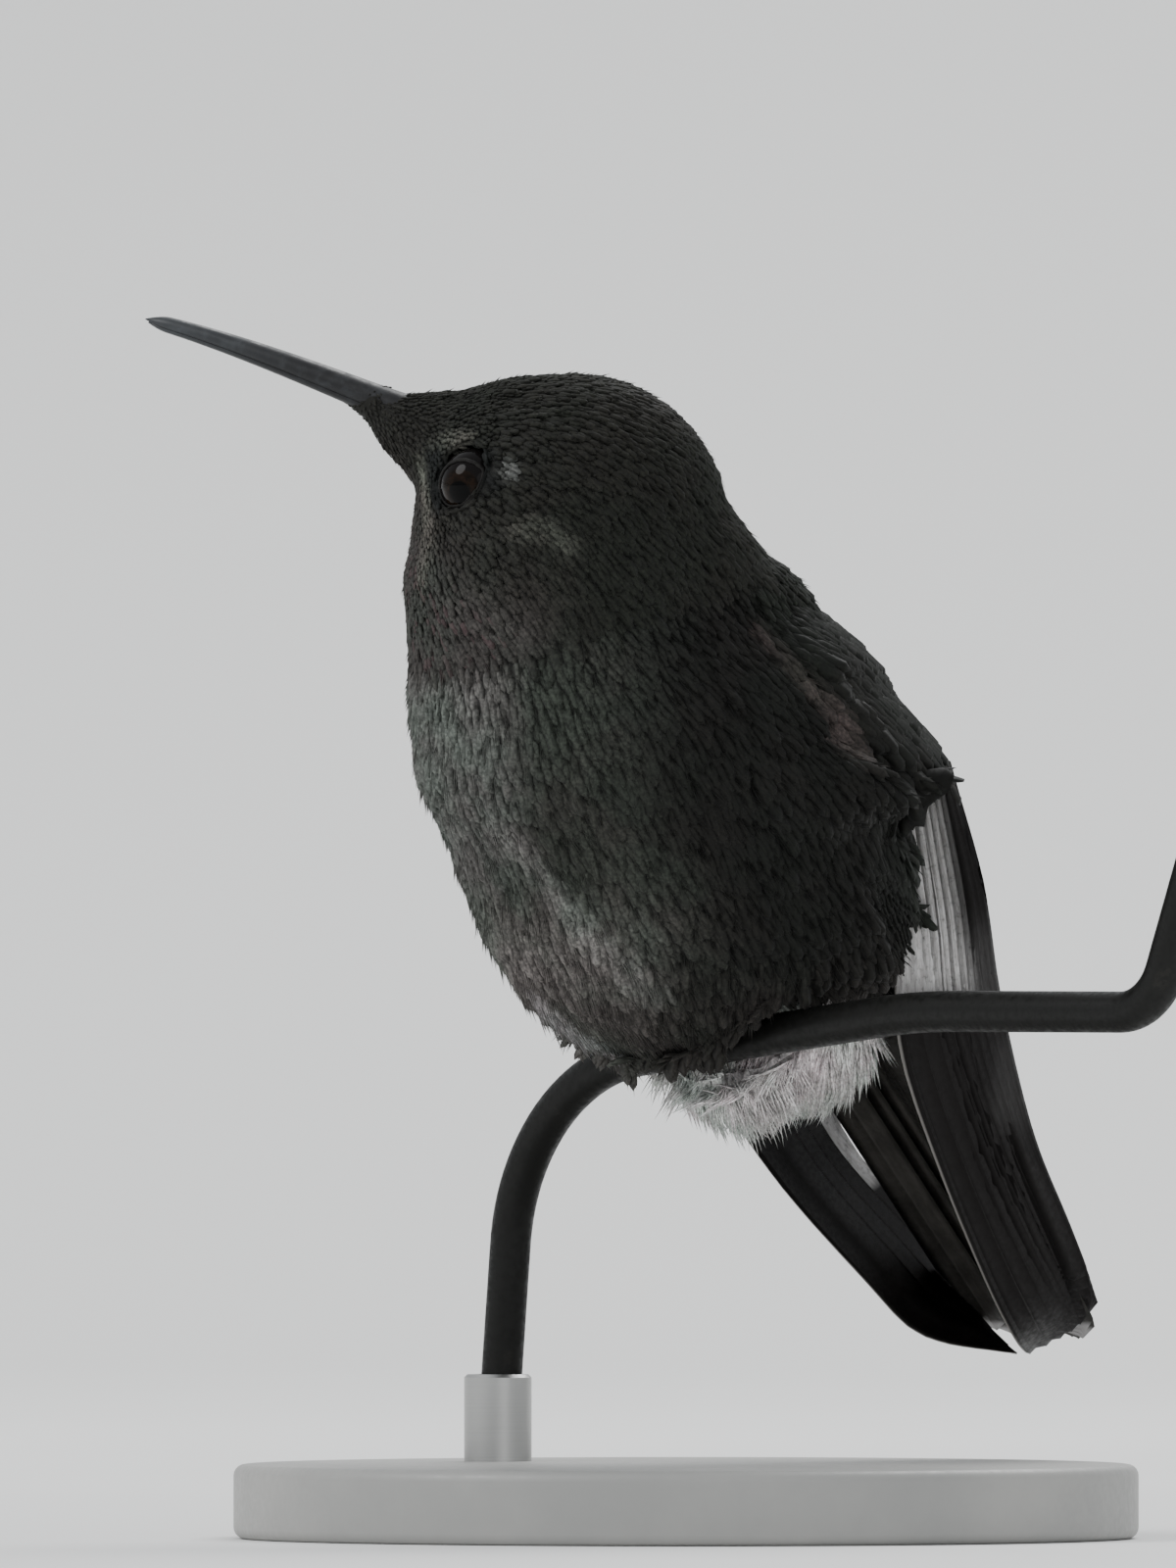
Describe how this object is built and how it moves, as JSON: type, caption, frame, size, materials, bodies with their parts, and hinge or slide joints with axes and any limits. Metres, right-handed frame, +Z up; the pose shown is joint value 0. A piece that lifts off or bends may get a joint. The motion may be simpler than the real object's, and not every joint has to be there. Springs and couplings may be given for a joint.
{
  "type": "hummingbird",
  "caption": "Life-size still model of a small fluffed-up hummingbird, head turned and lifted, perched on a bent dark wire above a plain round display stand.",
  "frame": {"origin": "centre of the underside of the round base", "axes": "+Z up; the bird's body faces -X and its left side is -Y; the perch wire runs along Y"},
  "size_m": [0.0617, 0.074, 0.0757],
  "materials": {
    "stand_paint": "matt warm grey",
    "rod_steel": "brushed",
    "wire_paint": "dark, satin, worn",
    "hood_feathers": "soft small feathers, dark green-grey with a dull sheen",
    "belly_feathers": "soft fluffed feathers, grey with dark centres",
    "rump_feathers": "small scale-like feathers, dark green",
    "undertail_feathers": "loose white down",
    "tail_feathers": "dark vanes with pale tips",
    "flight_feathers": "dark brown-black vanes with a slight sheen",
    "covert_feathers": "scale-like feathers, dark green",
    "eye": "glossy dark brown",
    "bill_horn": "black horn, satin",
    "leg_skin": "dark scaled skin"
  },
  "bodies": {
    "root": {"stand_base": "stand_paint", "stand_rod": "rod_steel", "perch_wire": "wire_paint", "head": "hood_feathers", "neck": "hood_feathers", "trunk": "belly_feathers", "rump": "rump_feathers", "undertail_coverts": "undertail_feathers", "tail_centre": "tail_feathers", "tail_left": "tail_feathers", "tail_right": "tail_feathers", "wing_left_primaries": "flight_feathers", "wing_left_secondaries": "flight_feathers", "wing_left_coverts": "covert_feathers", "wing_right_primaries": "flight_feathers", "wing_right_secondaries": "flight_feathers", "wing_right_coverts": "covert_feathers", "eye_left": "eye", "eye_right": "eye", "bill_upper": "bill_horn", "bill_lower": "bill_horn", "leg_left": "leg_skin", "leg_right": "leg_skin"}
  },
  "joints": []
}
